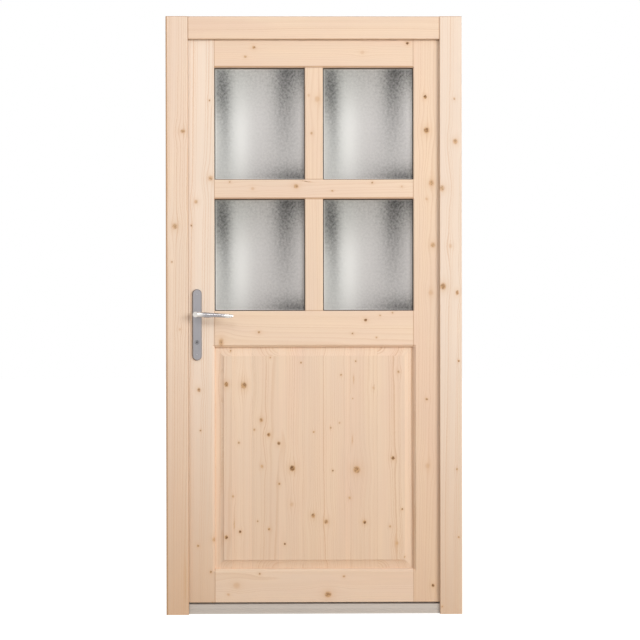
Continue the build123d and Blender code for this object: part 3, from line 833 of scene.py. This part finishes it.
satin = finish_material(
    "satin_fittings", satin_grey, metallic=1.0, roughness=0.34, brushed=0.1, stretch=brush_stretch,
)
give(satin, "plate_outer", "plate_inner")

cylinder_low, cylinder_high = (Vector(corner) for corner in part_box("key_cylinder"))
axis_x = (cylinder_low.x + cylinder_high.x) / 2
plug_level = cylinder_high.z - (cylinder_high.x - cylinder_low.x) / 2

nickel, tree = new_material("cylinder_nickel")
flat = node(tree, "ShaderNodeVectorMath", {0: object_place(tree), 1: (1, 0, 1)}, operation="MULTIPLY")
from_axis = distance(tree, flat.outputs[0], (axis_x, 0, plug_level))
# Painted shade in the plug's ring gap and in the dish round the keyway.
off = maths(tree, "ABSOLUTE", maths(tree, "SUBTRACT", from_axis, plug_radius))
in_gap = maths(tree, "LESS_THAN", off, plug_gap)
in_shaded_dish = maths(tree, "LESS_THAN", from_axis, dish_radius)
gap_shade_tone = maths(tree, "MULTIPLY_ADD", in_gap, -gap_shade, 1.0)
dish_shade_tone = maths(tree, "MULTIPLY_ADD", in_shaded_dish, -dish_shade, 1.0)
turned = noise_along(tree, from_axis, turning_scale)
tone = times(tree, varied(tree, turned, turning_contrast), gap_shade_tone, dish_shade_tone)
finish_surface(tree, {
    "Base Color": toned(tree, nickel_grey, tone), "Metallic": 1.0,
    "Roughness": varied(tree, turned, 0.1, 0.3),
})
give(nickel, "key_cylinder")

# Keyways
# The slots for the key in both ends of the cylinder, stepped in section to fit the key's grooves, are
# drawn as near-black sheets on the faces: painted shade where the slots are.
# The outline is in millimetres from the plug's axis.
keyway_outline = (
    (-1.45, -3.8), (1.015, -3.8), (1.015, -1.6), (1.595, -1.1), (1.595, -0.2), (0.725, 0.3), (0.725, 1.4),
    (1.595, 1.9), (1.595, 4.2), (-0.58, 4.2), (-0.58, 2.2), (-1.45, 1.7), (-1.45, 0.6), (-0.725, 0.1),
    (-0.725, -1.0), (-1.45, -1.5),
)
keyway_proud = 0.00006
key_points, key_faces = [], []
for face, away in ((cylinder_low.y, -1), (cylinder_high.y, 1)):
    first, count = len(key_points), len(keyway_outline)
    for level in (face, face + keyway_proud * away):
        key_points += [(axis_x + x / 1000, level, plug_level + z / 1000) for x, z in keyway_outline]
    back = [first + k for k in range(count)]
    front = [first + count + k for k in range(count)]
    sides = [(back[k - 1], back[k], front[k], front[k - 1]) for k in range(count)]
    loops = [front, back[::-1], *sides]
    key_faces += loops if away < 0 else [loop[::-1] for loop in loops]
keyway_mesh = bpy.data.meshes.new("keyways")
keyway_mesh.from_pydata(key_points, [], key_faces)
# Painted shade: a near-black sheet stands for the dark inside of each slot.
keyway_shade_sheet = finish_material(
    "keyway_shade_sheet", (0.018, 0.017, 0.018), metallic=0.2, roughness=0.55, brushed=0.05,
)
new_piece("keyways", keyway_mesh, "leaf", "cylinder_nickel", keyway_shade_sheet)

# Levers and spindle
# Cast aluminium levers, polished finer than the plates. A painted highlight makes them brightest at
# the root and towards the tip, with a painted grey reflection between. A square steel spindle joins
# them.
lever_highlight = (0.69, 0.665, 0.635, 1)
lever_reflection_grey = (0.335, 0.32, 0.33, 1)
root_end, root_start = 0.036, 0.010
tip_start, tip_end = 0.080, 0.108
cloud_scale = 60.0
cloud_contrast = 0.3
lever_material, tree = new_material("lever_satin")
place = object_place(tree)
run = maths(tree, "SUBTRACT", parts_of(tree, place)["X"], axis_x)
# Painted highlight at the root and towards the tip, broken up by soft cloud; painted grey reflection between.
root = ramp(tree, run, root_end, root_start, **smooth)
tip = ramp(tree, run, tip_start, tip_end, **smooth)
cloud = noise(tree, place, cloud_scale)
clouded = varied(tree, cloud, cloud_contrast, 0.0)
painted_highlight = maths(tree, "ADD", maths(tree, "MAXIMUM", root, tip), clouded, clamp=True)
finish_surface(tree, {
    "Base Color": blend(tree, painted_highlight, lever_reflection_grey, lever_highlight), "Metallic": 1.0,
    "Roughness": varied(tree, cloud, 0.15, 0.275),
})
give(lever_material, "lever_outer", "lever_inner")
steel = finish_material(
    "lock_steel", (0.5, 0.5, 0.52), metallic=1.0, roughness=0.38, brushed=0.1, stretch=brush_stretch,
)
give(steel, "spindle")

# Mortice lock and strike plate
# Brushed steel, let in flush: the lock into the edge of the stile, the strike plate into the jamb.
# The two bolts are of the same steel, drawn back level with the forend.
give(steel, "mortice_lock", "latch_bolt", "dead_bolt", "strike_plate")

# Screws
# Countersunk cross-slot screws in the long plates, the forend and the strike plate, and a row that
# holds the threshold down. The heads stand a hair proud, each turned its own way.
screw_radius = 0.0040
screw_height = 0.0007
slot_length = 0.0050
slot_width = 0.0010
slot_depth = 0.0005
screw_sunk = 0.0002
screw_taper = 0.8
screw_sides = 24
widest_turn = 1.5
turn_seed = 11
plate_foot_inset = 0.019
plate_top_inset = 0.017
strike_inset = 0.010
sill_screw_depth = 0.019
sill_screw_places = (-0.36, -0.12, 0.12, 0.36)


def screw_tree():
    """Geometry Nodes: a cross-slot head on each point, facing along the point's own direction."""
    tree = bpy.data.node_groups.new("cross_slot_screws", "GeometryNodeTree")
    tree.interface.new_socket("Places", in_out="INPUT", socket_type="NodeSocketGeometry")
    for name in ("Head Radius", "Head Height", "Slot Length", "Slot Width", "Slot Depth"):
        tree.interface.new_socket(name, in_out="INPUT", socket_type="NodeSocketFloat")
    tree.interface.new_socket("Finish", in_out="INPUT", socket_type="NodeSocketMaterial")
    tree.interface.new_socket("Screws", in_out="OUTPUT", socket_type="NodeSocketGeometry")
    given = node(tree, "NodeGroupInput").outputs
    rim = maths(tree, "MULTIPLY", given["Head Radius"], screw_taper)
    screw_head = node(tree, "GeometryNodeMeshCone", {
        "Vertices": screw_sides, "Radius Top": rim, "Radius Bottom": given["Head Radius"],
        "Depth": given["Head Height"],
    }).outputs["Mesh"]
    cuts = node(tree, "GeometryNodeJoinGeometry")
    depth = maths(tree, "MULTIPLY", given["Slot Depth"], 2.0)
    for sides in ((given["Slot Length"], given["Slot Width"]), (given["Slot Width"], given["Slot Length"])):
        size = vector(tree, *sides, depth)
        bar = node(tree, "GeometryNodeMeshCube", {"Size": size}).outputs["Mesh"]
        lift = vector(tree, 0.0, 0.0, given["Head Height"])
        placed = node(tree, "GeometryNodeTransform", {"Geometry": bar, "Translation": lift}).outputs[0]
        tree.links.new(placed, cuts.inputs[0])
    cut_inputs = {"Mesh 1": screw_head, "Mesh 2": cuts.outputs[0]}
    slotted = node(tree, "GeometryNodeMeshBoolean", cut_inputs, operation="DIFFERENCE").outputs["Mesh"]
    facing = node(tree, "GeometryNodeInputNamedAttribute", {"Name": "facing"}, data_type="FLOAT_VECTOR")
    aimed = node(tree, "FunctionNodeAlignRotationToVector", {"Vector": facing.outputs["Attribute"]}, axis="Z")
    screw_inputs = {"Points": given["Places"], "Instance": slotted, "Rotation": aimed.outputs[0]}
    screws = node(tree, "GeometryNodeInstanceOnPoints", screw_inputs).outputs[0]
    spin_inputs = {"Min": (0, 0, 0), "Max": (0, 0, widest_turn), "Seed": turn_seed}
    spin = node(tree, "FunctionNodeRandomValue", spin_inputs, data_type="FLOAT_VECTOR").outputs["Value"]
    spun = node(tree, "GeometryNodeRotateInstances", {"Instances": screws, "Rotation": spin}).outputs[0]
    made = node(tree, "GeometryNodeRealizeInstances", {"Geometry": spun}).outputs[0]
    finished = node(tree, "GeometryNodeSetMaterial", {"Geometry": made, "Material": given["Finish"]})
    node(tree, "NodeGroupOutput", {"Screws": finished.outputs[0]})
    return tree


outer_low, outer_high = (Vector(corner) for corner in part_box("plate_outer"))
inner_high = Vector(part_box("plate_inner")[1])
lock_low = Vector(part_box("mortice_lock")[0])
strike_low, strike_high = (Vector(corner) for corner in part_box("strike_plate"))
sill_high = Vector(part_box("threshold_rail")[1])
middle_y = (strike_low.y + strike_high.y) / 2

plate_levels = (outer_low.z + plate_foot_inset, outer_high.z - plate_top_inset)
strike_levels = (strike_low.z + strike_inset, strike_high.z - strike_inset)
leaf_screws = [((axis_x, outer_low.y + screw_sunk, z), (0, -1, 0)) for z in plate_levels]
leaf_screws += [((axis_x, inner_high.y - screw_sunk, z), (0, 1, 0)) for z in plate_levels]
leaf_screws += [((lock_low.x + screw_sunk, middle_y, z), (-1, 0, 0)) for z in strike_levels]
frame_screws = [((strike_high.x - screw_sunk, middle_y, z), (1, 0, 0)) for z in strike_levels]
frame_screws += [((x, sill_screw_depth, sill_high.z - screw_sunk), (0, 0, 1)) for x in sill_screw_places]

screw_steel = finish_material("screw_steel", (0.74, 0.72, 0.70), metallic=1.0, roughness=0.3, brushed=0.05)
slotted_screws = screw_tree()
screw_values = {
    "Head Radius": screw_radius, "Head Height": screw_height, "Slot Length": slot_length,
    "Slot Width": slot_width, "Slot Depth": slot_depth, "Finish": screw_steel,
}
for name, body, screws in (("leaf_screws", "leaf", leaf_screws), ("frame_screws", "frame", frame_screws)):
    screw_places, screw_facings = zip(*screws)
    places_mesh = bpy.data.meshes.new(f"{name}_places")
    places_mesh.from_pydata(screw_places, [], [])
    facings = places_mesh.attributes.new("facing", "FLOAT_VECTOR", "POINT")
    for value, facing in zip(facings.data, screw_facings):
        value.vector = facing
    new_piece(name, grow(name, places_mesh, slotted_screws, screw_values), body, "lock_steel")

# Hinges
# Turned steel knuckles with dowels that are screwed slanting into the wood, zinc plated. Each has one
# half in the jamb and one in the stile, at three levels.
zinc = finish_material("hinge_steel", (0.55, 0.55, 0.54), metallic=1.0, roughness=0.32, brushed=0.05)
give(zinc, *(f"hinge_{level}_{half}" for level in ("low", "mid", "top") for half in ("frame", "leaf")))

# Threshold
# A mill-finish aluminium angle with two ribs along its front, over a dark plastic core. The metal is
# pressed through a die, so its streaks run along it.
sill_metal = finish_material(
    "sill_aluminium", (0.57, 0.52, 0.47), metallic=0.3, roughness=0.45, brushed=0.15, stretch=(0.03, 1, 1),
)
give(sill_metal, "threshold_rail")
sill_core = finish_material("sill_plastic", (0.05, 0.05, 0.052), metallic=0.0, roughness=0.6, brushed=0.1)
give(sill_core, "threshold_core")

# Frame seals
# Soft dark strips that the closed leaf meets, pressed into grooves in the backs of the covers and in
# the top of the threshold.
rubber = finish_material("seal_rubber", (0.085, 0.070, 0.056), metallic=0.0, roughness=0.7, brushed=0.1)
give(rubber, *(f"seal_{place}" for place in ("left", "right", "head", "threshold")))
